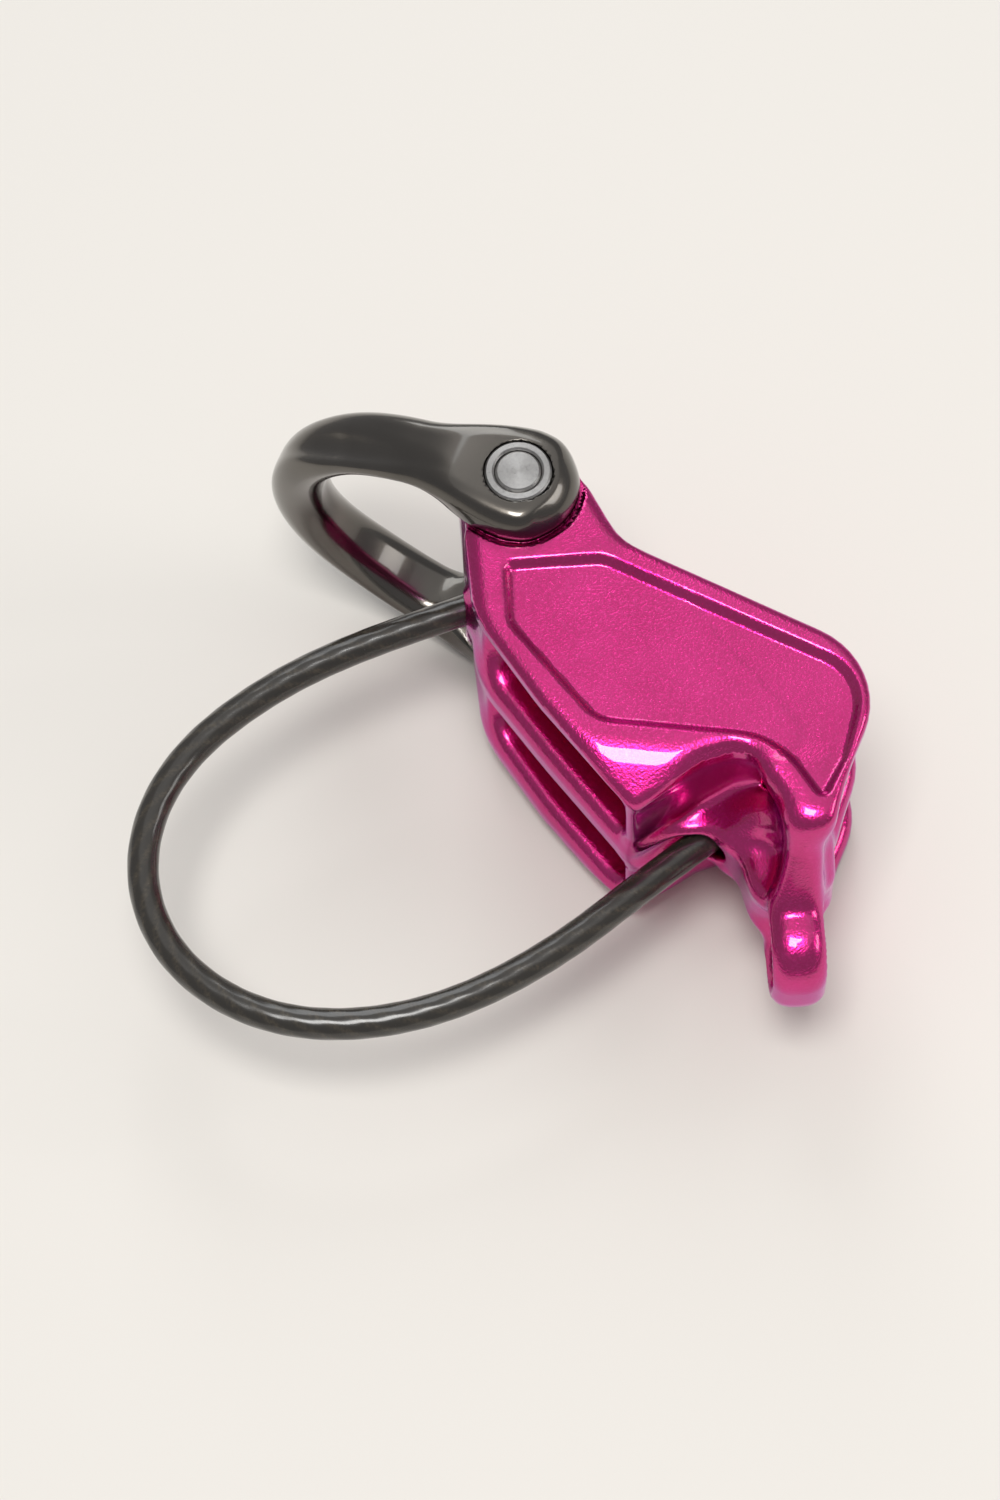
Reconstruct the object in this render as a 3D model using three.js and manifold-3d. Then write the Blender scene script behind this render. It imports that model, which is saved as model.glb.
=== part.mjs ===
// Guide-mode tubular belay device: forged two-slot body, pivoting link on a through pin, wire keeper loop.
// Millimetres. The two rope plates lie flat, +X runs from the pivot to the release ring, +Y from the keeper
// loop to the back edge, +Z up. The origin is on the pivot axis, in the plane of the lower eye's flat face.
import * as THREE from 'three';
import { mergeVertices } from 'three/addons/utils/BufferGeometryUtils.js';
import Module from 'manifold-3d';

const wasm = await Module();
wasm.setup();

// Stack across the rope slots
const ribThickness = 4.2;
const slotWidth = 12.8;
const plateThickness = 4.1;
const plateFace = ribThickness / 2 + slotWidth + plateThickness;

// Plan of the body, seen along the pivot axis
const bodyLength = 41.2;
const ropeEdge = 13.3;
const backRise = 17.6;
const backCornerRadius = 12;
const slotStart = 11.5;
const slotLength = 27.9;
const plateEdgeRadius = 1.1;
const pocketDepth = 1.0;

// Web, hollow, stem and release ring at the hook end
const webThickness = 8;
const webEdgeRadius = 0.6;
const stemWidth = 6.6;
const stemAngle = THREE.MathUtils.degToRad(-30.4);
const stemReach = 17.2;
const ringHalfHeight = 7.4;
const ringHoleHalfHeight = 4.4;
const ringHoleLength = 11.4;
const ringEndThickness = 2.8;

// Pivot and link
const pinRadius = 2.75;
const collarRadius = 4.0;
const collarDepth = 1.6;
const eyeRadius = 7.4;
const eyeThickness = 4.6;
const lugRadius = 7.4;
const stepDepth = 1.2;
const linkReach = 33.2;
const linkAngle = THREE.MathUtils.degToRad(-145.5);
const armHalfWidth = 4.0;
const bowThickness = 6.7;
const bowCentre = 2.0;
const archLift = 0.8;
const linkEdgeRadius = 1.4;

// Keeper loop
const sheathRadius = 1.9;
const sheathWall = 0.45;
const strandLay = 24;
const strandSides = 6;
const sheathSides = 10;
const keeperSteps = 64;
const ferruleLength = 4.0;
const sheathInsert = 2.0;

// Clearances
const eyeSideClearance = 0.2;
const eyeRimClearance = 0.4;
const pinClearance = 0.1;
const seatGap = 0.3;
const strandGap = 0.24;
const strandClearance = 0.22;
const bevelSegments = 2;
const roundSides = 40;

const lugFace = plateFace - stepDepth;
const eyeInnerFace = lugFace + eyeSideClearance;
const eyeOuterFace = eyeInnerFace + eyeThickness;
const midHeight = eyeOuterFace;
// Six strands about a core, filling the sheath's bore
const strandRadius = (sheathRadius - sheathWall - strandClearance - strandGap) / 3;

// Keeper centreline in the mid-plane, from the pivot end to the hook end, as x and y
const keeperPoints = [
  [2.0, -9.6], [0.9, -14.2], [-0.6, -20.4], [-2.1, -29.3], [-2.4, -37.0], [-1.0, -47.4], [3.2, -55.7],
  [10.5, -61.5], [19.7, -63.3], [28.5, -60.9], [35.4, -55.8], [40.4, -48.7], [43.6, -40.5], [45.0, -32.0],
  [45.2, -23.3], [44.4, -14.2], [43.9, -8.6], [43.6, -3.6],
];

const metals = {
  anodisedBody: { color: 0xc2257f, roughness: 0.32, metalness: 0.85 },
  anodisedLink: { color: 0x4b4a47, roughness: 0.3, metalness: 0.9 },
  stainless: { color: 0x8e8f90, roughness: 0.35, metalness: 1.0 },
  wire: { color: 0x6f6f70, roughness: 0.4, metalness: 1.0 },
  plastic: { color: 0x2d2b27, roughness: 0.3, metalness: 0.0 },
};

function meshOf(name, geometry, look) {
  const mesh = new THREE.Mesh(geometry, new THREE.MeshStandardMaterial(look));
  mesh.name = name;
  return mesh;
}

// Solid for a boolean, from any closed three.js geometry.
function solidOf(geometry) {
  const bare = geometry.clone();
  bare.deleteAttribute('normal');
  bare.deleteAttribute('uv');
  const merged = mergeVertices(bare, 1e-4);
  const vertProperties = Float32Array.from(merged.attributes.position.array);
  const triVerts = Uint32Array.from(merged.index.array);
  return new wasm.Manifold(new wasm.Mesh({ numProp: 3, vertProperties, triVerts }));
}

function geometryOf(solid) {
  const mesh = solid.getMesh();
  const geometry = new THREE.BufferGeometry();
  geometry.setAttribute('position', new THREE.BufferAttribute(Float32Array.from(mesh.vertProperties), 3));
  geometry.setIndex(new THREE.BufferAttribute(Uint32Array.from(mesh.triVerts), 1));
  geometry.computeVertexNormals();
  return geometry;
}

// Closed outline through corners given as [x, y, fillet radius], in order.
function filletedShape(corners) {
  const shape = new THREE.Shape();
  const count = corners.length;
  corners.forEach(([x, y, radius], i) => {
    const here = new THREE.Vector2(x, y);
    const before = new THREE.Vector2(...corners[(i + count - 1) % count].slice(0, 2)).sub(here);
    const after = new THREE.Vector2(...corners[(i + 1) % count].slice(0, 2)).sub(here);
    const room = 0.48 * Math.min(before.length(), after.length());
    before.normalize();
    after.normalize();
    const half = Math.acos(before.dot(after)) / 2;
    const fillet = Math.min(radius, room * Math.tan(half));
    const centre = before.clone().add(after).normalize().multiplyScalar(fillet / Math.sin(half)).add(here);
    const start = here.clone().addScaledVector(before, fillet / Math.tan(half)).sub(centre);
    const end = here.clone().addScaledVector(after, fillet / Math.tan(half)).sub(centre);
    shape.absarc(centre.x, centre.y, fillet, start.angle(), end.angle(), before.cross(after) > 0);
  });
  return shape;
}

// Prism between two heights, with its long edges rounded by edgeRadius where that isn't zero.
function prism(shape, low, high, edgeRadius = 0, curveSegments = 5) {
  const geometry = new THREE.ExtrudeGeometry(shape, {
    depth: high - low - 2 * edgeRadius,
    bevelEnabled: edgeRadius > 0,
    bevelThickness: edgeRadius,
    bevelSize: edgeRadius,
    bevelOffset: -edgeRadius,
    bevelSegments,
    curveSegments,
  });
  return geometry.translate(0, 0, low + edgeRadius);
}

function disc(radius, low, high) {
  const geometry = new THREE.CylinderGeometry(radius, radius, high - low, roundSides);
  return geometry.rotateX(Math.PI / 2).translate(0, 0, (low + high) / 2);
}

// Plate outline: pivot end, rope edge, post, band above the hollow, tip, back corner, back edge.
function plateOutline() {
  const backSlope = 0.57;
  const backStart = 11.5;
  const backHeight = 5.6;
  const cornerX = backStart + backRise / backSlope;
  return filletedShape([
    [1.0, -lugRadius, 2.2],
    [slotStart + 0.1, -ropeEdge, 10],
    [slotStart + 12.5, -ropeEdge, 20],
    [bodyLength, -ropeEdge + 2.2, 2.2],
    [bodyLength, 3.6, 4],
    [bodyLength + 8.8, 4.4, 5],
    [bodyLength + 13.2, 1.2, 2.2],
    [bodyLength + 13.6, 6.2, 2.4],
    [cornerX + 1.0, backHeight + backRise, backCornerRadius],
    [backStart, backHeight, 8],
    [2.6, 6.4, 2.2],
  ]);
}

// One rope slot in plan, open along both long sides and over the hook end.
function slotOutline() {
  const slotEnd = slotStart + slotLength;
  const beyond = 24;
  return filletedShape([
    [slotStart, -beyond, 0.5],
    [slotEnd, -beyond, 0.5],
    [slotEnd, -2, 5],
    [slotEnd + 4.4, 8.2, 5],
    [bodyLength + beyond, 9.4, 0.5],
    [bodyLength + beyond, 2 * beyond, 0.5],
    [slotStart, 2 * beyond, 0.5],
  ]);
}

function pocketOutline() {
  const rim = 2.1;
  return filletedShape([
    [7.0, -7.0, 1.5],
    [slotStart + 2.5, -ropeEdge + rim, 4],
    [bodyLength - 10.9, -ropeEdge + rim + 1.4, 3],
    [bodyLength + 2.4, 5.9, 5],
    [bodyLength + 12.6, 5.7, 0.8],
    [bodyLength + 9.4, 11.8, 5],
    [bodyLength + 1.8, 20.2, 9],
    [13.0, 3.4, 4],
  ]);
}

function webOutline() {
  return filletedShape([
    [bodyLength - 1.4, -ropeEdge + 3.4, 1.2],
    [bodyLength + 0.4, -ropeEdge + 3.4, 1.2],
    [bodyLength + 2.4, -4.0, 3],
    [bodyLength + 8.8, -1.6, 5],
    [bodyLength + 15.4, -4.6, 2],
    [bodyLength + 17, 1.0, 2],
    [bodyLength + 11.8, 7.0, 2],
    [bodyLength - 1.4, 6.4, 1.6],
  ]);
}

const stemStart = new THREE.Vector2(bodyLength + 10.3, 3.2);

// Profile seen along the ring hole's axis: u runs along the stem, v is the height.
function stemProfile() {
  const rootHalfHeight = 13;
  const neck = 6.5;
  return filletedShape([
    [-2, rootHalfHeight, 3],
    [-2, -rootHalfHeight, 3],
    [neck, -ringHalfHeight, 8],
    [stemReach, -ringHalfHeight, 6],
    [stemReach, ringHalfHeight, 6],
    [neck, ringHalfHeight, 8],
  ]);
}

function ringHoleProfile() {
  const holeEnd = stemReach - ringEndThickness;
  const holeStart = holeEnd - ringHoleLength;
  return filletedShape([
    [holeStart, -ringHoleHalfHeight, 3.6],
    [holeEnd, -ringHoleHalfHeight, 3.6],
    [holeEnd, ringHoleHalfHeight, 3.6],
    [holeStart, ringHoleHalfHeight, 3.6],
  ]);
}

// Turns a profile prism so that u follows the plan angle, v stays up and the depth lies across.
function layAcross(geometry, angle, x, y) {
  geometry.rotateX(Math.PI / 2);
  return geometry.rotateZ(angle).translate(x, y, 0);
}

// Blind bore for one end of the keeper, from its mouth point inwards along the given direction.
function keeperBore(mouth, inward) {
  const depth = sheathInsert + ferruleLength + seatGap;
  const lead = 7;
  const geometry = new THREE.CylinderGeometry(
    sheathRadius + seatGap,
    sheathRadius + seatGap,
    depth + lead,
    24,
  );
  geometry.translate(0, (depth - lead) / 2, 0);
  return geometry.rotateZ(Math.atan2(inward.y, inward.x) - Math.PI / 2).translate(mouth.x, mouth.y, 0);
}

const keeperEnds = [0, keeperPoints.length - 1].map((end) => {
  const mouth = new THREE.Vector2(...keeperPoints[end]);
  const next = new THREE.Vector2(...keeperPoints[end === 0 ? 1 : end - 1]);
  return { mouth, inward: mouth.clone().sub(next).normalize() };
});

function makeBody() {
  let body = solidOf(prism(plateOutline(), -plateFace, plateFace, plateEdgeRadius));
  body = body.add(solidOf(disc(lugRadius, -lugFace, lugFace)));
  body = body.add(solidOf(prism(webOutline(), -webThickness / 2, webThickness / 2, webEdgeRadius)));
  const stem = layAcross(prism(stemProfile(), -stemWidth / 2, stemWidth / 2, 1.4), stemAngle, stemStart.x, stemStart.y);
  body = body.add(solidOf(stem));
  const hole = layAcross(prism(ringHoleProfile(), -stemWidth, stemWidth), stemAngle, stemStart.x, stemStart.y);
  body = body.subtract(solidOf(hole));
  const slot = slotOutline();
  const slotLow = ribThickness / 2;
  body = body.subtract(solidOf(prism(slot, slotLow, slotLow + slotWidth)));
  body = body.subtract(solidOf(prism(slot, -slotLow - slotWidth, -slotLow)));
  const pocket = pocketOutline();
  const above = 1;
  body = body.subtract(solidOf(prism(pocket, plateFace - pocketDepth, plateFace + above)));
  body = body.subtract(solidOf(prism(pocket, -plateFace - above, -plateFace + pocketDepth)));
  const recess = eyeRadius + eyeRimClearance;
  body = body.subtract(solidOf(disc(recess, lugFace, plateFace + above)));
  body = body.subtract(solidOf(disc(recess, -plateFace - above, -lugFace)));
  body = body.subtract(solidOf(disc(pinRadius + pinClearance, -plateFace, plateFace)));
  for (const { mouth, inward } of keeperEnds) {
    body = body.subtract(solidOf(keeperBore(mouth, inward)));
  }
  return meshOf('body', geometryOf(body), metals.anodisedBody);
}

// Side view of the link: u runs from the pivot to the bow, v is the height. Both edges end in half ellipses.
function linkProfile() {
  const outerReach = linkReach - bowCentre;
  const innerReach = outerReach - bowThickness;
  const innerHeight = eyeInnerFace + archLift;
  const profile = new THREE.Shape();
  profile.moveTo(0, eyeOuterFace);
  profile.absellipse(bowCentre, 0, outerReach, eyeOuterFace, Math.PI / 2, -Math.PI / 2, true);
  profile.lineTo(0, -eyeOuterFace);
  profile.lineTo(0, -innerHeight);
  profile.absellipse(bowCentre, 0, innerReach, innerHeight, -Math.PI / 2, Math.PI / 2, false);
  profile.lineTo(0, innerHeight);
  return profile;
}

function makeLink() {
  let link = solidOf(
    layAcross(prism(linkProfile(), -armHalfWidth, armHalfWidth, linkEdgeRadius, 10), linkAngle, 0, 0),
  );
  for (const side of [-1, 1]) {
    const low = side > 0 ? eyeInnerFace : -eyeOuterFace;
    const eye = prism(new THREE.Shape().absarc(0, 0, eyeRadius, 0, 2 * Math.PI), low, low + eyeThickness, 1.5, 18);
    link = link.add(solidOf(eye));
  }
  link = link.subtract(solidOf(disc(pinRadius + pinClearance, -eyeOuterFace - 1, eyeOuterFace + 1)));
  for (const side of [-1, 1]) {
    const faces = [side * (eyeOuterFace - collarDepth), side * (eyeOuterFace + 1)].sort((a, b) => a - b);
    link = link.subtract(solidOf(disc(collarRadius + pinClearance, ...faces)));
  }
  return meshOf('pivot_link', geometryOf(link), metals.anodisedLink);
}

function makePin() {
  const chamfer = 0.3;
  const pin = new THREE.LatheGeometry([
    new THREE.Vector2(0, -eyeOuterFace),
    new THREE.Vector2(pinRadius - chamfer, -eyeOuterFace),
    new THREE.Vector2(pinRadius, -eyeOuterFace + chamfer),
    new THREE.Vector2(pinRadius, eyeOuterFace - chamfer),
    new THREE.Vector2(pinRadius - chamfer, eyeOuterFace),
    new THREE.Vector2(0, eyeOuterFace),
  ], roundSides);
  return meshOf('pivot_pin', pin.rotateX(Math.PI / 2), metals.stainless);
}

// Stainless collar pressed on the pin, in the counterbore of one eye.
function makeCollar(name, side) {
  const chamfer = 0.25;
  const inner = pinRadius + pinClearance;
  const collar = new THREE.LatheGeometry([
    new THREE.Vector2(inner, 0),
    new THREE.Vector2(collarRadius, 0),
    new THREE.Vector2(collarRadius, collarDepth - pinClearance - chamfer),
    new THREE.Vector2(collarRadius - chamfer, collarDepth - pinClearance),
    new THREE.Vector2(inner + chamfer, collarDepth - pinClearance),
    new THREE.Vector2(inner, collarDepth - pinClearance - chamfer),
    new THREE.Vector2(inner, 0),
  ], roundSides);
  collar.rotateX(side * Math.PI / 2);
  collar.translate(0, 0, side * (eyeOuterFace - collarDepth + pinClearance));
  return meshOf(name, collar, metals.stainless);
}

// Keeper route with its straight tails inside the two bores, past each mouth by the given length.
function keeperRoute(tail) {
  const [first, last] = keeperEnds;
  const start = first.mouth.clone().addScaledVector(first.inward, tail);
  const end = last.mouth.clone().addScaledVector(last.inward, tail);
  const points = [[start.x, start.y], ...keeperPoints, [end.x, end.y]];
  return new THREE.CatmullRomCurve3(points.map(([x, y]) => new THREE.Vector3(x, y, 0)), false, 'centripetal');
}

// Helix about the keeper route, for one strand of the wire rope.
class StrandRoute extends THREE.Curve {
  constructor(route, offset, phase) {
    super();
    this.route = route;
    this.offset = offset;
    this.phase = phase;
    this.turns = route.getLength() / strandLay;
  }

  getPoint(t) {
    const centre = this.route.getPointAt(t);
    const along = this.route.getTangentAt(t);
    const turn = this.phase + 2 * Math.PI * this.turns * t;
    const across = new THREE.Vector3(-along.y, along.x, 0).normalize();
    return centre
      .addScaledVector(across, this.offset * Math.cos(turn))
      .add(new THREE.Vector3(0, 0, this.offset * Math.sin(turn)));
  }
}

function polygonShape(radius, sides, ShapeClass = THREE.Shape) {
  const corners = Array.from({ length: sides }, (_, i) => {
    const angle = (2 * Math.PI * i) / sides;
    return new THREE.Vector2(radius * Math.cos(angle), radius * Math.sin(angle));
  });
  return new ShapeClass(corners);
}

function sweep(shape, path) {
  return new THREE.ExtrudeGeometry(shape, { steps: keeperSteps, extrudePath: path, bevelEnabled: false });
}

function makeSheath() {
  const section = polygonShape(sheathRadius, sheathSides);
  section.holes.push(polygonShape(sheathRadius - sheathWall, sheathSides, THREE.Path));
  return meshOf('keeper_sheath', sweep(section, keeperRoute(sheathInsert)), metals.plastic);
}

function makeStrands() {
  const route = keeperRoute(sheathInsert + ferruleLength * 0.7);
  const strandOffset = 2 * strandRadius + strandGap;
  const core = meshOf('keeper_strand_core', sweep(polygonShape(strandRadius, strandSides), route), metals.wire);
  const outer = Array.from({ length: 6 }, (_, i) => {
    const path = new StrandRoute(route, strandOffset, (2 * Math.PI * i) / 6);
    return meshOf(`keeper_strand_${i + 1}`, sweep(polygonShape(strandRadius, strandSides), path), metals.wire);
  });
  return [core, ...outer];
}

// Swaged cup on the bared end of the wire rope, at the bottom of its bore.
function makeFerrule(name, { mouth, inward }) {
  const floor = ferruleLength * 0.22;
  const boreRadius = sheathRadius - sheathWall;
  const ferrule = new THREE.LatheGeometry([
    new THREE.Vector2(0, ferruleLength),
    new THREE.Vector2(sheathRadius, ferruleLength),
    new THREE.Vector2(sheathRadius, seatGap),
    new THREE.Vector2(boreRadius, seatGap),
    new THREE.Vector2(boreRadius, ferruleLength - floor),
    new THREE.Vector2(0, ferruleLength - floor),
  ].reverse(), 16);
  ferrule.translate(0, sheathInsert, 0);
  ferrule.rotateZ(Math.atan2(inward.y, inward.x) - Math.PI / 2).translate(mouth.x, mouth.y, 0);
  return meshOf(name, ferrule, metals.stainless);
}

const device = new THREE.Group();
device.add(
  makeBody(),
  makeLink(),
  makePin(),
  makeCollar('pin_collar_upper', 1),
  makeCollar('pin_collar_lower', -1),
  makeSheath(),
  ...makeStrands(),
  makeFerrule('keeper_ferrule_pivot_end', keeperEnds[0]),
  makeFerrule('keeper_ferrule_hook_end', keeperEnds[1]),
);
device.position.z = midHeight;

export default device;
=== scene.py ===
import bmesh
import bpy
import numpy as np
from mathutils import Matrix, Vector


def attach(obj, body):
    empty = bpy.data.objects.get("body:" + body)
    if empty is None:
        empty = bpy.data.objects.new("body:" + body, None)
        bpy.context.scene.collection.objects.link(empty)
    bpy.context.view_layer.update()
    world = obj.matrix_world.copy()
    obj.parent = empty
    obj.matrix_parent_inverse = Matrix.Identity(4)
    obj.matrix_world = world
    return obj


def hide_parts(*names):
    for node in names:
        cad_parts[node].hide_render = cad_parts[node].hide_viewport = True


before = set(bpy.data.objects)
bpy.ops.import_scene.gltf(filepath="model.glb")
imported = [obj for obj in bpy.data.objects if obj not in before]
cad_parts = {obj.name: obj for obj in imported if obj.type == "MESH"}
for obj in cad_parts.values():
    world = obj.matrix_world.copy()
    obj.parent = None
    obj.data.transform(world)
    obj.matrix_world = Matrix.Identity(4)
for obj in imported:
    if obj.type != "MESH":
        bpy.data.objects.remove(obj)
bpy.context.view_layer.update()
millimetre = 0.001
midHeight = 22.6  # mid-plane of the device above the origin, mm


camera = {
    "place": (0.17078, -0.10373, 0.41229),
    "right": (0.55447, 0.83171, -0.02873),
    "down": (0.75353, -0.51640, -0.40684),
    "lens": 85.0,
    "sensorHeight": 36.0,
}


def placeCamera():
    data = bpy.data.cameras.new("camera")
    data.lens = camera["lens"]
    data.sensor_fit = "VERTICAL"
    data.sensor_height = camera["sensorHeight"]
    data.clip_start = 0.01
    data.clip_end = 20
    item = bpy.data.objects.new("camera", data)
    right = Vector(camera["right"]).normalized()
    up = (-Vector(camera["down"])).normalized()
    back = right.cross(up).normalized()
    up = back.cross(right)
    turn = Matrix((right, up, back)).transposed().to_4x4()
    item.matrix_world = Matrix.Translation(camera["place"]) @ turn
    bpy.context.scene.collection.objects.link(item)
    bpy.context.scene.camera = item
    return item


placeCamera()
print("camera placed")


# One socket of a node tree, with the usual operators.
class Value:
    def __init__(self, tree, socket):
        self.tree = tree
        self.socket = socket

    def maths(self, operation, other=None, third=None):
        return node(self.tree, "ShaderNodeMath", {"operation": operation}, [self, other, third])

    def __add__(self, other):
        return self.maths("ADD", other)

    __radd__ = __add__

    def __mul__(self, other):
        return self.maths("MULTIPLY", other)

    __rmul__ = __mul__

    def __sub__(self, other):
        return self.maths("SUBTRACT", other)

    def __rsub__(self, other):
        return node(self.tree, "ShaderNodeMath", {"operation": "SUBTRACT"}, [other, self])

    def power(self, other):
        return self.maths("POWER", other)

    def sine(self):
        return self.maths("SINE")

    def between(self, low, high):
        return node(self.tree, "ShaderNodeMapRange", {"interpolation_type": "SMOOTHSTEP"},
                    {"Value": self, "From Min": low, "From Max": high})


def node(tree, kind, settings=None, inputs=None, output=0):
    made = tree.nodes.new(kind)
    for key, value in (settings or {}).items():
        setattr(made, key, value)
    pairs = enumerate(inputs) if isinstance(inputs, (list, tuple)) else (inputs or {}).items()
    for key, value in pairs:
        if value is None:
            continue
        if isinstance(value, Value):
            tree.links.new(value.socket, made.inputs[key])
        else:
            made.inputs[key].default_value = value
    return Value(tree, made.outputs[output])


def mixColours(tree, factor, first, second):
    return node(tree, "ShaderNodeMix", {"data_type": "RGBA"},
                {0: factor, 6: first, 7: second}, output=2)


def newMaterial(name, **fixed):
    material = bpy.data.materials.new(name)
    material.use_nodes = True
    tree = material.node_tree
    shader = tree.nodes["Principled BSDF"]
    for key, value in fixed.items():
        shader.inputs[key.replace("_", " ")].default_value = value
    return material, tree, shader


def feed(tree, shader, **links):
    for key, value in links.items():
        tree.links.new(value.socket, shader.inputs[key.replace("_", " ")])


def noise(tree, place, scale, detail=2.0, roughness=0.5):
    return node(tree, "ShaderNodeTexNoise", {}, {"Vector": place, "Scale": scale, "Detail": detail,
                                                 "Roughness": roughness})


def objectPlace(tree):
    return node(tree, "ShaderNodeTexCoord", output=3)


# A field gives the distance from a surface in mm, negative inside the metal.
def roundedOutline(corners, step=9.0):
    points = []
    total = len(corners)
    for i, (x, y, radius) in enumerate(corners):
        here = np.array([x, y])
        before = np.array(corners[i - 1][:2]) - here
        after = np.array(corners[(i + 1) % total][:2]) - here
        room = 0.48 * min(np.linalg.norm(before), np.linalg.norm(after))
        before = before / np.linalg.norm(before)
        after = after / np.linalg.norm(after)
        half = np.arccos(np.clip(before @ after, -1, 1)) / 2
        fillet = min(radius, room * np.tan(half))
        middle = (before + after) / np.linalg.norm(before + after)
        centre = here + middle * fillet / np.sin(half)
        start = here + before * fillet / np.tan(half) - centre
        end = here + after * fillet / np.tan(half) - centre
        first = np.arctan2(start[1], start[0])
        turn = np.arctan2(end[1], end[0]) - first
        turn = (turn + np.pi) % (2 * np.pi) - np.pi
        count = max(2, int(abs(np.degrees(turn)) / step) + 2)
        for angle in first + np.linspace(0, turn, count):
            points.append(centre + fillet * np.array([np.cos(angle), np.sin(angle)]))
    return np.array(points)


def outlineField(outline, x, y):
    best = np.full(np.broadcast(x, y).shape, 1e9)
    inside = np.zeros(best.shape, bool)
    for a, b in zip(outline, np.roll(outline, -1, axis=0)):
        ex, ey = b - a
        px, py = x - a[0], y - a[1]
        along = np.clip((px * ex + py * ey) / (ex * ex + ey * ey + 1e-12), 0, 1)
        best = np.minimum(best, (px - along * ex) ** 2 + (py - along * ey) ** 2)
        if a[1] != b[1]:
            crosses = (a[1] > y) != (b[1] > y)
            inside ^= crosses & (px < py * ex / ey)
    return np.where(inside, -1, 1) * np.sqrt(best)


def smoothMin(a, b, blend):
    overlap = np.maximum(blend - np.abs(a - b), 0) / blend
    return np.minimum(a, b) - overlap * overlap * blend / 4


def smoothMax(a, b, blend):
    return -smoothMin(-a, -b, blend)


def slab(outline, height, half, edge):
    dx = outline + edge
    dz = height - half + edge
    return np.minimum(np.maximum(dx, dz), 0) + np.hypot(np.maximum(dx, 0), np.maximum(dz, 0)) - edge


def capsule(x, y, z, start, end, radius):
    start, end = np.array(start, float), np.array(end, float)
    run = end - start
    px, py, pz = x - start[0], y - start[1], z - start[2]
    along = np.clip((px * run[0] + py * run[1] + pz * run[2]) / (run @ run), 0, 1)
    return np.sqrt((px - along * run[0]) ** 2 + (py - along * run[1]) ** 2
                   + (pz - along * run[2]) ** 2) - radius


def ramp(value, low, high):
    t = np.clip((value - low) / (high - low), 0, 1)
    return t * t * (3 - 2 * t)


# Closed mesh of a field's zero surface: one point in each cell that the surface crosses, pulled on to it.
def meshField(field, low, high, step):
    axes = [np.arange(a, b + step, step) for a, b in zip(low, high)]
    x, y, z = axes[0][:, None, None], axes[1][None, :, None], axes[2][None, None, :]
    values = np.broadcast_to(field(x, y, z), tuple(len(a) for a in axes)).astype(np.float32)
    inside = values < 0
    corners = [(i, j, k) for i in (0, 1) for j in (0, 1) for k in (0, 1)]
    cells = tuple(n - 1 for n in values.shape)
    count = sum(inside[i:i + cells[0], j:j + cells[1], k:k + cells[2]].astype(np.int8) for i, j, k in corners)
    active = np.argwhere((count > 0) & (count < 8))
    number = np.full(cells, -1, np.int64)
    number[tuple(active.T)] = np.arange(len(active))
    total = np.zeros((len(active), 3))
    crossings = np.zeros(len(active))
    for a in corners:
        for axis in range(3):
            if a[axis]:
                continue
            b = list(a)
            b[axis] = 1
            va = values[tuple((active + a).T)]
            vb = values[tuple((active + b).T)]
            cut = (va < 0) != (vb < 0)
            place = np.where(cut, va / np.where(cut, va - vb, 1), 0)
            total += np.where(cut[:, None], np.array(a) + place[:, None] * (np.array(b) - a), 0)
            crossings += cut
    points = np.array([a[0] for a in axes]) + (active + total / crossings[:, None]) * step
    faces = []
    for axis in range(3):
        one, two = [(1, 2), (2, 0), (0, 1)][axis]
        shape = list(values.shape)
        shape[axis] -= 1
        lower = [slice(0, n) for n in shape]
        upper = list(lower)
        upper[axis] = slice(1, shape[axis] + 1)
        cut = inside[tuple(lower)] != inside[tuple(upper)]
        cut = cut.copy()
        for side in (one, two):
            edge = [slice(None)] * 3
            edge[side] = 0
            cut[tuple(edge)] = False
            edge[side] = -1
            cut[tuple(edge)] = False
        at = np.argwhere(cut)
        starts = inside[tuple(at.T)]
        ring = []
        for da, db in ((0, 0), (1, 0), (1, 1), (0, 1)):
            cell = at.copy()
            cell[:, one] -= da
            cell[:, two] -= db
            ring.append(number[tuple(cell.T)])
        ring = np.stack(ring, 1)
        ring[~starts] = ring[~starts][:, ::-1]
        faces.append(ring)
    faces = np.concatenate(faces)
    small = 0.02
    for _ in range(3):
        value, slope = fieldSlope(field, points, small)
        size = np.maximum((slope * slope).sum(1), 0.2)
        move = np.clip(value / size, -0.5 * step, 0.5 * step)
        points = points - slope * move[:, None]
    slope = fieldSlope(field, points, small)[1]
    normals = slope / np.maximum(np.linalg.norm(slope, axis=1), 1e-6)[:, None]
    return points, faces, normals


def fieldSlope(field, points, small):
    x, y, z = points.T
    value = field(x, y, z)
    slope = np.stack([(field(x + small, y, z) - value), (field(x, y + small, z) - value),
                      (field(x, y, z + small) - value)], 1) / small
    return value, slope


def makePiece(name, points, faces, normals=None, materials=()):
    mesh = bpy.data.meshes.new(name)
    mesh.vertices.add(len(points))
    mesh.vertices.foreach_set("co", (np.asarray(points) * millimetre).astype(np.float32).ravel())
    mesh.loops.add(faces.size)
    mesh.loops.foreach_set("vertex_index", faces.astype(np.int32).ravel())
    mesh.polygons.add(len(faces))
    mesh.polygons.foreach_set("loop_start", np.arange(0, faces.size, faces.shape[1], dtype=np.int32))
    mesh.update(calc_edges=True)
    mesh.validate()
    mesh.shade_smooth()
    if normals is not None:
        mesh.normals_split_custom_set_from_vertices(normals.tolist())
    piece = bpy.data.objects.new(name, mesh)
    bpy.context.scene.collection.objects.link(piece)
    for material in materials:
        mesh.materials.append(material)
    return piece


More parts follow.
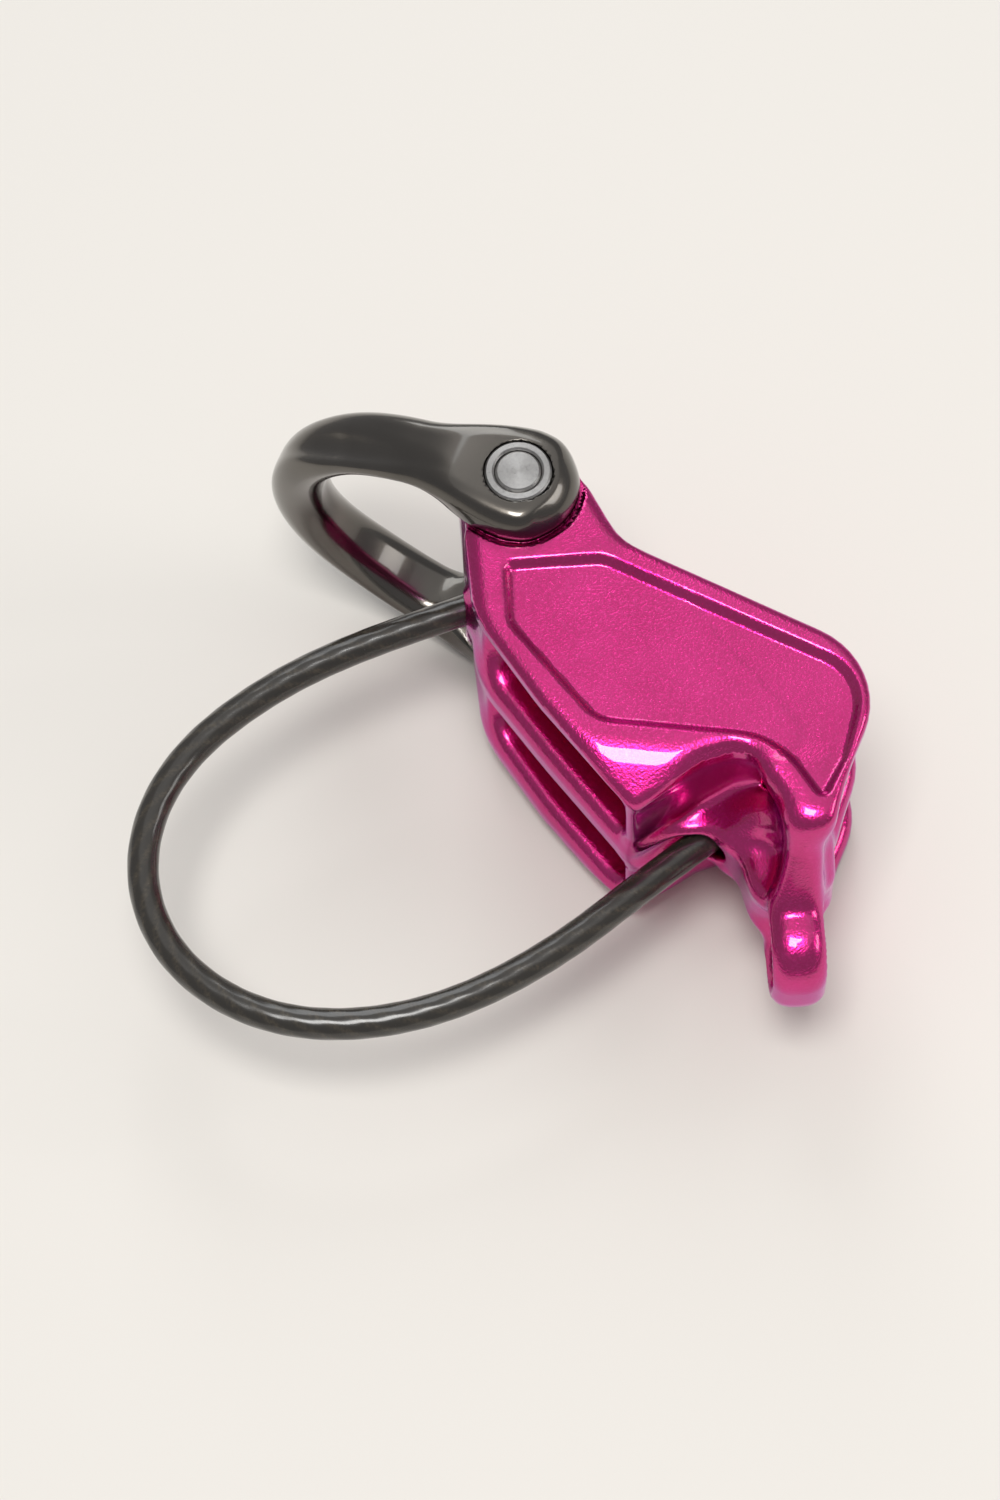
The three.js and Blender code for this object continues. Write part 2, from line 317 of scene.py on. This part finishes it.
# Millimetres in the plan of the body, from the pivot axis. The route lies in the mid-plane.
keeper = {
    "radius": 1.9,
    "length": 0.1385,
    "tail": 2.0,
    "lay": 24.0,
    "strands": 6,
    "ripple": 0.012,
    "sides": 48,
    "spacing": 0.35,
    "route": [
        (2.0, -9.6), (0.9, -14.2), (-0.6, -20.4), (-2.1, -29.3), (-2.4, -37.0), (-1.0, -47.4), (3.2, -55.7),
        (10.5, -61.5), (19.7, -63.3), (28.5, -60.9), (35.4, -55.8), (40.4, -48.7), (43.6, -40.5),
        (45.0, -32.0), (45.2, -23.3), (44.4, -14.2), (43.9, -8.6), (43.6, -3.6),
    ],
}


def smoothRoute(points, tail, spacing):
    points = np.array(points, float)
    first = points[0] - points[1]
    last = points[-1] - points[-2]
    points = np.vstack([points[0] + first / np.linalg.norm(first) * tail, points,
                        points[-1] + last / np.linalg.norm(last) * tail])
    ends = np.vstack([2 * points[0] - points[1], points, 2 * points[-1] - points[-2]])
    dense = []
    for i in range(len(points) - 1):
        p = ends[i:i + 4]
        knots = np.concatenate([[0], np.cumsum(np.linalg.norm(np.diff(p, axis=0), axis=1) ** 0.5)])
        for t in np.linspace(knots[1], knots[2], 24, endpoint=False):
            a = [((knots[j + 1] - t) * p[j] + (t - knots[j]) * p[j + 1]) / (knots[j + 1] - knots[j])
                 for j in range(3)]
            b = [((knots[j + 2] - t) * a[j] + (t - knots[j]) * a[j + 1]) / (knots[j + 2] - knots[j])
                 for j in range(2)]
            dense.append(((knots[2] - t) * b[0] + (t - knots[1]) * b[1]) / (knots[2] - knots[1]))
    dense.append(points[-1])
    dense = np.array(dense)
    run = np.concatenate([[0], np.cumsum(np.linalg.norm(np.diff(dense, axis=0), axis=1))])
    count = int(run[-1] / spacing) + 1
    marks = np.linspace(0, run[-1], count)
    route = np.stack([np.interp(marks, run, dense[:, i]) for i in (0, 1)], 1)
    held = int((tail + 2) / spacing)
    for _ in range(140):
        route[held:-held] = 0.5 * route[held:-held] + 0.25 * (route[held - 1:-held - 1]
                                                              + route[held + 1:len(route) - held + 1])
    return route


def coatMaterial():
    material, tree, shader = newMaterial("cableCoat", Roughness=0.3, IOR=1.5,
                                         Coat_Weight=0.35, Coat_Roughness=0.12)
    place = node(tree, "ShaderNodeUVMap", {"uv_map": "route"})
    split = tree.nodes.new("ShaderNodeSeparateXYZ")
    tree.links.new(place.socket, split.inputs[0])
    along, around = Value(tree, split.outputs[0]), Value(tree, split.outputs[1])
    turn = 2 * np.pi * keeper["strands"]
    strand = ((around - along) * turn).sine() * 0.5 + 0.5
    wire = ((around - along * 2.6) * (turn * 4)).sine() * 0.5 + 0.5
    stretched = node(tree, "ShaderNodeCombineXYZ", {}, [along * 9.0, around * 3.0, 0.0])
    streak = noise(tree, stretched, 6.0, 3.0)
    band = strand.power(2.0) * (0.7 + 0.3 * wire) * streak.between(0.25, 0.8)
    dark = (0.026, 0.023, 0.019, 1)
    gold = (0.075, 0.060, 0.040, 1)
    colour = mixColours(tree, band * 0.8, dark, gold)
    scuffs = noise(tree, objectPlace(tree), 2600.0, 3.0)
    feed(tree, shader, Base_Color=colour, Roughness=streak * 0.14 + scuffs * 0.06 + 0.14)
    height = strand * 0.5 + streak * 0.3 + scuffs * 0.05
    bump = node(tree, "ShaderNodeBump", {}, {"Strength": 0.2, "Distance": 0.00005, "Height": height})
    feed(tree, shader, Normal=bump)
    return material


def makeKeeper():
    route = smoothRoute(keeper["route"], keeper["tail"], keeper["spacing"])
    run = np.concatenate([[0], np.cumsum(np.linalg.norm(np.diff(route, axis=0), axis=1))])
    along = np.gradient(route, axis=0)
    along /= np.linalg.norm(along, axis=1)[:, None]
    across = np.stack([-along[:, 1], along[:, 0]], 1)
    sides = keeper["sides"]
    angle = np.linspace(0, 2 * np.pi, sides, endpoint=False)
    twist = keeper["strands"] * (angle[None, :] - 2 * np.pi * run[:, None] / keeper["lay"])
    radius = keeper["radius"] - keeper["ripple"] + keeper["ripple"] * np.cos(twist)
    side = radius * np.cos(angle)[None, :]
    points = np.zeros((len(route), sides, 3))
    points[:, :, 0] = route[:, None, 0] + side * across[:, None, 0]
    points[:, :, 1] = route[:, None, 1] + side * across[:, None, 1]
    points[:, :, 2] = radius * np.sin(angle)[None, :] + midHeight
    rings, spokes = np.meshgrid(np.arange(len(route) - 1), np.arange(sides), indexing="ij")
    after = (spokes + 1) % sides
    faces = np.stack([rings * sides + spokes, (rings + 1) * sides + spokes, (rings + 1) * sides + after,
                      rings * sides + after], -1).reshape(-1, 4)
    piece = makePiece("keeper_cable", points.reshape(-1, 3), faces, materials=[coatMaterial()])
    finishCable(piece, route, run)
    declareCable(piece, route, run)


# Writes the place along and around the cable as UV, and closes both ends.
def finishCable(piece, route, run):
    sides = keeper["sides"]
    bm = bmesh.new()
    bm.from_mesh(piece.data)
    bm.verts.ensure_lookup_table()
    layer = bm.loops.layers.uv.new("route")
    for face in bm.faces:
        spokes = [loop.vert.index % sides for loop in face.loops]
        wraps = max(spokes) - min(spokes) > 1
        for loop, spoke in zip(face.loops, spokes):
            ring = loop.vert.index // sides
            turn = spoke / sides + (1 if wraps and spoke == 0 else 0)
            loop[layer].uv = (run[ring] / keeper["lay"], turn)
    last = len(route) - 1
    for ring in (0, last):
        x, y = route[ring]
        centre = bm.verts.new((x * millimetre, y * millimetre, midHeight * millimetre))
        start = ring * sides
        bm.verts.ensure_lookup_table()
        for spoke in range(sides):
            a, b = bm.verts[start + spoke], bm.verts[start + (spoke + 1) % sides]
            bm.faces.new((a, b, centre) if ring else (b, a, centre))
    bmesh.ops.recalc_face_normals(bm, faces=bm.faces)
    bm.to_mesh(piece.data)
    bm.free()
    piece.data.shade_smooth()


def declareCable(piece, route, run):
    inside = [i for i, length in enumerate(run) if keeper["tail"] <= length <= run[-1] - keeper["tail"]]
    path = [(route[i][0] * millimetre, route[i][1] * millimetre, midHeight * millimetre) for i in inside]
    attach(piece, "device")
    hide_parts("keeper_sheath")


makeKeeper()
print("keeper loop made")


# Outlines are corners with their fillet radius, seen along the pivot axis.
body = {
    "voxel": 0.36,
    "plateFace": 19.0,
    "plateThickness": 4.1,
    "ribHalf": 2.1,
    "pocketDepth": 1.25,
    "lugFace": 17.8,
    "lugRecess": 7.8,
    "lugRadius": 7.4,
    "pinBore": 2.85,
    "pocketEdge": (-1.2, 0.3),
    "bandFall": 5.4,
    "stemHalf": 3.5,
    "ringHalf": 7.4,
    "stemStart": (51.5, 3.2),
    "stemAngle": np.radians(-30.4),
    "plate": [
        (1.0, -7.4, 2.2), (11.6, -13.3, 10), (24, -13.3, 20), (40.7, -11.9, 3.2), (40.1, -2.0, 6),
        (41.6, 3.2, 4), (50, 4.8, 6), (53.6, 2.8, 4.0), (55.2, 5.4, 2.4), (54.2, 6.8, 3.0),
        (43.4, 23.2, 12), (11.5, 5.6, 8), (2.6, 6.4, 2.2),
    ],
    "rib": [
        (0.8, -7.6, 2.2), (12.2, -13.9, 8), (26, -13.0, 20), (40.5, -11.9, 2.0), (41.5, 2, 4),
        (54.4, 7.0, 3.0), (43.0, 22.2, 12), (11.3, 5.2, 8), (2.6, 6.2, 2.2),
    ],
    "pocket": [
        (7.0, -7.0, 1.5), (14.0, -11.2, 4), (30.3, -9.8, 5), (43.6, 5.9, 9), (53.8, 5.7, 1.2),
        (50.6, 11.8, 5), (43, 20.2, 9), (13, 3.4, 4),
    ],
    "pivotBlock": [
        (0.8, -7.0, 2), (5.6, -9.4, 3), (10.4, -11.6, 1.5), (11.4, -6, 3), (11.4, 4.9, 2), (2.6, 5.9, 2),
    ],
    "slotSpan": (9.0, 39.2),
    "slotTaper": 6.2,
    "slotCorner": (4.6, 2.8),
    "filler": [
        (0.8, -7.0, 2), (5.6, -9.4, 3), (11.4, -12.3, 6), (24, -12.4, 20), (40.4, -11.2, 1), (40.4, -2, 4),
        (41.6, 2.0, 4), (45.0, 6.3, 3), (43.6, 8.2, 1), (40, 8.2, 2), (20, 6.5, 4),
        (11.3, 4.6, 3), (2.6, 5.9, 2),
    ],
    "wall": [
        (39.0, -11.3, 0.6), (39.0, -2, 5), (40.9, 3.4, 3), (44.0, 8.6, 4), (51.5, 8.6, 1), (53.0, 5.5, 1.5),
        (50, 7.2, 3), (44.6, 6.7, 3), (41.6, 2.0, 4), (40.5, -2, 4), (40.5, -11.3, 0.6),
    ],
    "web": [
        (39.0, -11.4, 1.0), (40.9, -10.9, 1.4), (42.3, -6.6, 5), (44.2, -3.4, 3), (49.6, -1.8, 4),
        (54.2, -3.2, 3), (58, -1.0, 2), (57, 5.4, 2), (53, 8.2, 2), (41, 8.2, 2), (39.0, 5, 1),
    ],
}


class BodyShape:
    def __init__(self, settings):
        for name in ("plate", "rib", "pocket", "pivotBlock", "filler", "wall", "web"):
            setattr(self, name, roundedOutline(settings[name]))
        self.face = settings["plateFace"]
        self.half = settings["plateThickness"] / 2
        self.settings = settings

    def field(self, x, y, z):
        s = self.settings
        a = np.abs(z)
        pocket = outlineField(self.pocket, x, y)
        plate = slab(outlineField(self.plate, x, y), np.abs(a - self.face + self.half), self.half, 1.7)
        rolled = smoothMax(pocket - 1.2, 0, 0.8) * ramp(x, 22, 34)
        drop = s["bandFall"] * (1 - np.exp(-rolled * rolled / 62))
        top = self.face - s["pocketDepth"] * (1 - ramp(pocket, *s["pocketEdge"])) - drop
        plate = smoothMax(plate, a - top, 1.4)
        rib = slab(outlineField(self.rib, x, y), a, s["ribHalf"], 1.5)
        metal = smoothMin(plate, rib, 0.5)
        block = slab(outlineField(self.pivotBlock, x, y), a, 16.5, 1.0)
        metal = smoothMin(metal, block, 4.5)
        lug = slab(np.hypot(x, y) - s["lugRadius"], a, s["lugFace"], 0.7)
        metal = smoothMin(metal, lug, 0.8)
        # rope slots end in rounded corners, with a long taper at the pivot end
        late = 0.215 * (np.sqrt((y + 2) ** 2 + 4) + y + 2)
        slot = self.slotEnd(x - late, a)
        filler = smoothMax(outlineField(self.filler, x, y), -slot, 1.6)
        filler = np.maximum(filler, a - 16.5)
        metal = smoothMin(metal, filler, 2.6)
        wall = slab(outlineField(self.wall, x, y), a, 16.2, 0.8)
        metal = smoothMin(metal, wall, 1.8)
        webEdge = outlineField(self.web, x, y)
        web = slab(webEdge, a, 4.2, 1.2)
        # floor of the hollow rises from the lip to a low crest, with a pit behind it and one beside the stem
        slope = smoothMax(smoothMax(webEdge + 0.4, (a - 4.2 - 0.62 * (y + 3.0)) * 0.85, 1.0), y - 3.4, 1.6)
        side = (x - 46.4) * 0.84 - (y + 1.5) * 0.54
        slope = smoothMax(slope, side, 1.2)
        web = smoothMin(web, slope, 1.0)
        web = smoothMin(web, capsule(x, y, a, (46.6, -1.4, 3.6), (50.4, 4.6, 4.6), 0.8), 1.6)
        metal = smoothMin(metal, web, 1.4)
        metal = smoothMin(metal, self.stem(x, y, a), 4.4)
        metal = smoothMax(metal, a - top, 1.4)
        # shallow seats for the eyes, bore for the pin, mouths of the keeper
        seat = np.maximum(np.hypot(x, y) - s["lugRecess"], s["lugFace"] - a)
        metal = smoothMax(metal, -seat, 0.35)
        metal = np.maximum(metal, s["pinBore"] - np.hypot(x, y))
        boss = capsule(x, y, z, (3.0, -7.4, 0), (4.2, -3, 0), 2.9)
        metal = smoothMin(metal, boss, 2.5)
        metal = smoothMax(metal, -capsule(x, y, z, (1.0, -13, 0), (3.6, -3.2, 0), 2.05), 0.4)
        metal = smoothMax(metal, -capsule(x, y, z, (44.0, -11, 0), (43.5, -0.6, 0), 2.9), 1.0)
        return metal

    def slotEnd(self, x, a):
        s = self.settings
        low, high = s["slotSpan"]
        middle = (low + high) / 2
        px, pz = x - middle, a - (s["ribHalf"] + 6.4)
        radius = np.where(px < 0, s["slotTaper"], np.where(pz > 0, s["slotCorner"][0], s["slotCorner"][1]))
        qx, qz = np.abs(px) - (high - low) / 2 + radius, np.abs(pz) - 6.4 + radius
        return np.minimum(np.maximum(qx, qz), 0) + np.hypot(np.maximum(qx, 0), np.maximum(qz, 0)) - radius

    def stem(self, x, y, a):
        s = self.settings
        c, d = np.cos(s["stemAngle"]), np.sin(s["stemAngle"])
        u = (x - s["stemStart"][0]) * c + (y - s["stemStart"][1]) * d
        w = -(x - s["stemStart"][0]) * d + (y - s["stemStart"][1]) * c
        t = np.clip(u / 10.0, 0, 1)
        root = s["ringHalf"] + 11.4 * (1 - t) ** 2 * (1 + 2 * t)
        lean = 11.4 / 10.0 * 6 * t * (1 - t)
        rootSide = (a - root) / np.sqrt(1 + lean * lean)
        qx, qz = u - 11.2, a - 1.4
        ringSide = np.hypot(np.maximum(qx, 0), np.maximum(qz, 0)) + np.minimum(np.maximum(qx, qz), 0) - 6.0
        profile = np.where(u < 10, rootSide, ringSide)
        profile = np.maximum(profile, -4.5 - u)
        hx, hz = np.abs(u - 8.7) - 2.1, a - 0.8
        hole = np.hypot(np.maximum(hx, 0), np.maximum(hz, 0)) + np.minimum(np.maximum(hx, hz), 0) - 3.6
        profile = np.maximum(profile, -hole)
        bar = smoothMax(profile, np.abs(w) - s["stemHalf"], 3.2)
        # open on the keeper's side, and hollow between the two bands down to the web
        scoop = smoothMax(np.hypot((u - 1.2) * 0.85, w + 5.7) - 4.6, 4.6 - a, 2.0)
        return smoothMax(bar, -scoop, 3.0)


def anodisedBody():
    material, tree, shader = newMaterial("anodisedMagenta", Metallic=1.0, Coat_Weight=0.8,
                                         Coat_Roughness=0.05, Coat_IOR=1.6)
    shader.inputs["Specular Tint"].default_value = (0.72, 0.28, 0.95, 1)
    place = objectPlace(tree)
    cloud = noise(tree, place, 90.0, 3.0)
    grain = noise(tree, place, 3000.0, 2.0, 0.6)
    colour = mixColours(tree, cloud.between(0.35, 0.68), (0.57, 0.010, 0.175, 1), (0.64, 0.016, 0.21, 1))
    colour = mixColours(tree, grain.between(0.45, 0.75) * 0.35, colour, (0.78, 0.05, 0.32, 1))
    feed(tree, shader, Base_Color=colour, Roughness=cloud * 0.05 + grain * 0.1 + 0.17)
    bump = node(tree, "ShaderNodeBump", {}, {"Strength": 0.6, "Distance": 0.0001, "Height": grain})
    feed(tree, shader, Normal=bump)
    return material


def makeBody():
    shape = BodyShape(body)
    points, faces, normals = meshField(shape.field, (-9, -16, -20.4), (72, 23.5, 20.4), body["voxel"])
    points[:, 2] += midHeight
    piece = makePiece("body_shell", points, faces, normals, [anodisedBody()])
    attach(piece, "device")
    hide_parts("body")
    print("body made,", len(faces), "faces")
    return piece


makeBody()


link = {
    "voxel": 0.36,
    "angle": np.radians(-145.5),
    "reach": 33.2,
    "bowCentre": 2.0,
    "eyeRadius": 7.4,
    "eyeInner": 18.0,
    "eyeOuter": 22.6,
    "armDepth": 6.7,
    "armInner": 18.8,
    "armWide": 4.5,
    "pinBore": 2.85,
    "collarBore": 4.1,
    "collarSeat": 21.0,
}


class LinkShape:
    def __init__(self, settings):
        self.settings = settings

    # distance outside a half-oval that runs straight back from its centre
    def oval(self, u, a, reach, height):
        along = np.maximum(u - self.settings["bowCentre"], 0)
        size = np.sqrt((along / reach) ** 2 + (a / height) ** 2) + 1e-9
        slope = np.sqrt((along / reach ** 2) ** 2 + (a / height ** 2) ** 2) / size
        return (size - 1) / np.maximum(slope, 1e-3)

    def field(self, u, w, z):
        s = self.settings
        a = np.abs(z)
        outside = self.oval(u, a, s["reach"] - s["bowCentre"], s["eyeOuter"])
        within = -self.oval(u, a, s["reach"] - s["bowCentre"] - s["armDepth"], s["armInner"])
        where = 40 * np.arctan2(np.maximum(u - 2, 0) / 31.2, a / 22.6) / (np.pi / 2)
        bow = ramp(where, 8, 36)
        lean = 0.3 * (1 - ramp(where, 6, 22)) - 0.5 * ramp(where, 6, 22) * (1 - bow)
        wide = s["armWide"] - 0.5 * bow
        corner = 2.8 + 0.6 * bow
        dw = np.abs(w - lean) - wide + corner
        dn = smoothMax(outside, within, 0.3) + corner
        arm = np.minimum(np.maximum(dw, dn), 0) + np.hypot(np.maximum(dw, 0), np.maximum(dn, 0)) - corner
        arm = smoothMax(arm, -1.5 - u, 2.0)
        # scooped channel along the outer face, between a broad back ridge and a narrow front one
        fade = (1 - ramp(where, 20, 36)) * (0.35 + 0.65 * ramp(where, 2, 18))
        channel = np.hypot(w - 2.4 + 1.8 * bow, outside - 1.0) - 2.6 * fade
        arm = smoothMax(arm, -channel, 1.0)
        # round eye with a broad shoulder, drawn out towards the arm
        swell = np.hypot(np.minimum(u, 0) + np.maximum(u, 0) * 0.7, w - 0.05 * np.maximum(u, 0))
        eye = smoothMax(swell - s["eyeRadius"] + 0.12 * np.maximum(u, 0), outside, 5.4)
        eye = smoothMax(eye, s["eyeInner"] - a, 0.8)
        metal = smoothMin(arm, eye, 4.5)
        inner = s["eyeInner"] - 4.0 * ramp(u, 4, 12)
        metal = smoothMax(metal, inner - a - 20 * ramp(u, 12, 16), 0.4)
        metal = smoothMax(metal, outside, 0.6)
        metal = np.maximum(metal, s["pinBore"] - np.hypot(u, w))
        counter = np.maximum(np.hypot(u, w) - s["collarBore"], s["collarSeat"] - a)
        return np.maximum(metal, -counter)


def anodisedLink():
    material, tree, shader = newMaterial("anodisedGrey", Metallic=1.0, Coat_Weight=0.7,
                                         Coat_Roughness=0.06, Coat_IOR=1.6)
    place = objectPlace(tree)
    cloud = noise(tree, place, 70.0, 3.0)
    grain = noise(tree, place, 4200.0, 2.0, 0.6)
    colour = mixColours(tree, cloud.between(0.3, 0.7), (0.080, 0.072, 0.062, 1), (0.108, 0.097, 0.084, 1))
    feed(tree, shader, Base_Color=colour, Roughness=cloud * 0.05 + grain * 0.06 + 0.19)
    bump = node(tree, "ShaderNodeBump", {}, {"Strength": 0.1, "Distance": 0.00002, "Height": grain})
    feed(tree, shader, Normal=bump)
    return material


def makeLink():
    shape = LinkShape(link)
    points, faces, normals = meshField(shape.field, (-9, -9, -23.6), (35, 9, 23.6), link["voxel"])
    c, s = np.cos(link["angle"]), np.sin(link["angle"])
    turn = np.array([[c, -s, 0], [s, c, 0], [0, 0, 1]])
    points, normals = points @ turn.T, normals @ turn.T
    points[:, 2] += midHeight
    piece = makePiece("link_loop", points, faces, normals, [anodisedLink()])
    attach(piece, "link")
    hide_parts("pivot_link")
    print("link made,", len(faces), "faces")
    return piece


makeLink()


def turnedSteel():
    material, tree, shader = newMaterial("turnedSteel", Metallic=1.0)
    place = objectPlace(tree)
    split = tree.nodes.new("ShaderNodeSeparateXYZ")
    tree.links.new(place.socket, split.inputs[0])
    x, y = Value(tree, split.outputs[0]), Value(tree, split.outputs[1])
    distance = (x * x + y * y).power(0.5)
    rings = (distance * 42000.0).sine() * 0.5 + 0.5
    grain = noise(tree, place, 2500.0, 3.0)
    colour = mixColours(tree, grain, (0.26, 0.255, 0.25, 1), (0.42, 0.41, 0.40, 1))
    feed(tree, shader, Base_Color=colour, Roughness=rings * 0.1 + grain * 0.15 + 0.22)
    bump = node(tree, "ShaderNodeBump", {}, {"Strength": 0.25, "Distance": 0.00003, "Height": rings + grain})
    feed(tree, shader, Normal=bump)
    return material


def wireSteel():
    material, tree, shader = newMaterial("wireSteel", Metallic=1.0)
    grain = noise(tree, objectPlace(tree), 5000.0, 3.0)
    colour = mixColours(tree, grain, (0.30, 0.29, 0.28, 1), (0.48, 0.47, 0.45, 1))
    feed(tree, shader, Base_Color=colour, Roughness=grain * 0.2 + 0.25)
    return material


steel, wire = turnedSteel(), wireSteel()
for name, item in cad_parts.items():
    if name in ("body", "pivot_link", "keeper_sheath"):
        continue
    chosen = wire if name.startswith("keeper_strand") else steel
    item.data.materials.clear()
    item.data.materials.append(chosen)
print("steel parts finished")


stage = {
    "floorSlope": 4.37,
    "floorColour": (0.80, 0.77, 0.72, 1),
    "world": 0.34,
    "lamps": [
        ("ceiling", (-0.10, 0.25, 1.1), (1.4, 1.4), 2.7, (1.0, 0.985, 0.96)),
        ("key", (0.14, -0.16, 1.0), (0.34, 0.34), 5.2, (1.0, 0.99, 0.97)),
        ("window", (-0.75, 0.35, 0.6), (0.35, 0.7), 2.2, (0.95, 0.98, 1.0)),
        ("edge", (0.55, 0.70, 0.55), (0.5, 0.25), 1.6, (1.0, 0.98, 0.96)),
    ],
}


def makeFloor():
    size, cells = 3.0, 24
    ticks = np.linspace(-size, size, cells + 1)
    slope = np.tan(np.radians(stage["floorSlope"]))
    points = [(x * 1000, y * 1000, (x * 1000 - 5.9) * slope - 0.02) for x in ticks for y in ticks]
    faces = [(i * (cells + 1) + j, (i + 1) * (cells + 1) + j, (i + 1) * (cells + 1) + j + 1,
              i * (cells + 1) + j + 1) for i in range(cells) for j in range(cells)]
    material, tree, shader = newMaterial("paleFloor", Roughness=0.7)
    cloud = noise(tree, objectPlace(tree), 6.0, 4.0)
    r, g, b, _ = stage["floorColour"]
    colour = mixColours(tree, cloud, (r, g, b, 1), (r * 0.985, g * 0.985, b * 0.985, 1))
    feed(tree, shader, Base_Color=colour)
    floor = makePiece("floor", np.array(points), np.array(faces), materials=[material])
    return floor


def makeLight():
    for name, place, size, power, colour in stage["lamps"]:
        data = bpy.data.lights.new(name, "AREA")
        data.shape = "RECTANGLE"
        data.size, data.size_y = size
        data.energy = power
        data.color = colour
        lamp = bpy.data.objects.new(name, data)
        lamp.location = place
        aim = Vector((0.02, -0.02, 0.02)) - Vector(place)
        lamp.rotation_euler = aim.to_track_quat("-Z", "Y").to_euler()
        bpy.context.scene.collection.objects.link(lamp)
    world = bpy.data.worlds.new("studio")
    bpy.context.scene.world = world
    world.use_nodes = True
    world.node_tree.nodes["Background"].inputs["Color"].default_value = (0.97, 0.97, 1.0, 1)
    world.node_tree.nodes["Background"].inputs["Strength"].default_value = stage["world"]


makeFloor()
makeLight()
bpy.context.scene.view_settings.view_transform = "Standard"
print("floor and light set")


def corners(box):
    return [[float(v) for v in corner] for corner in box]
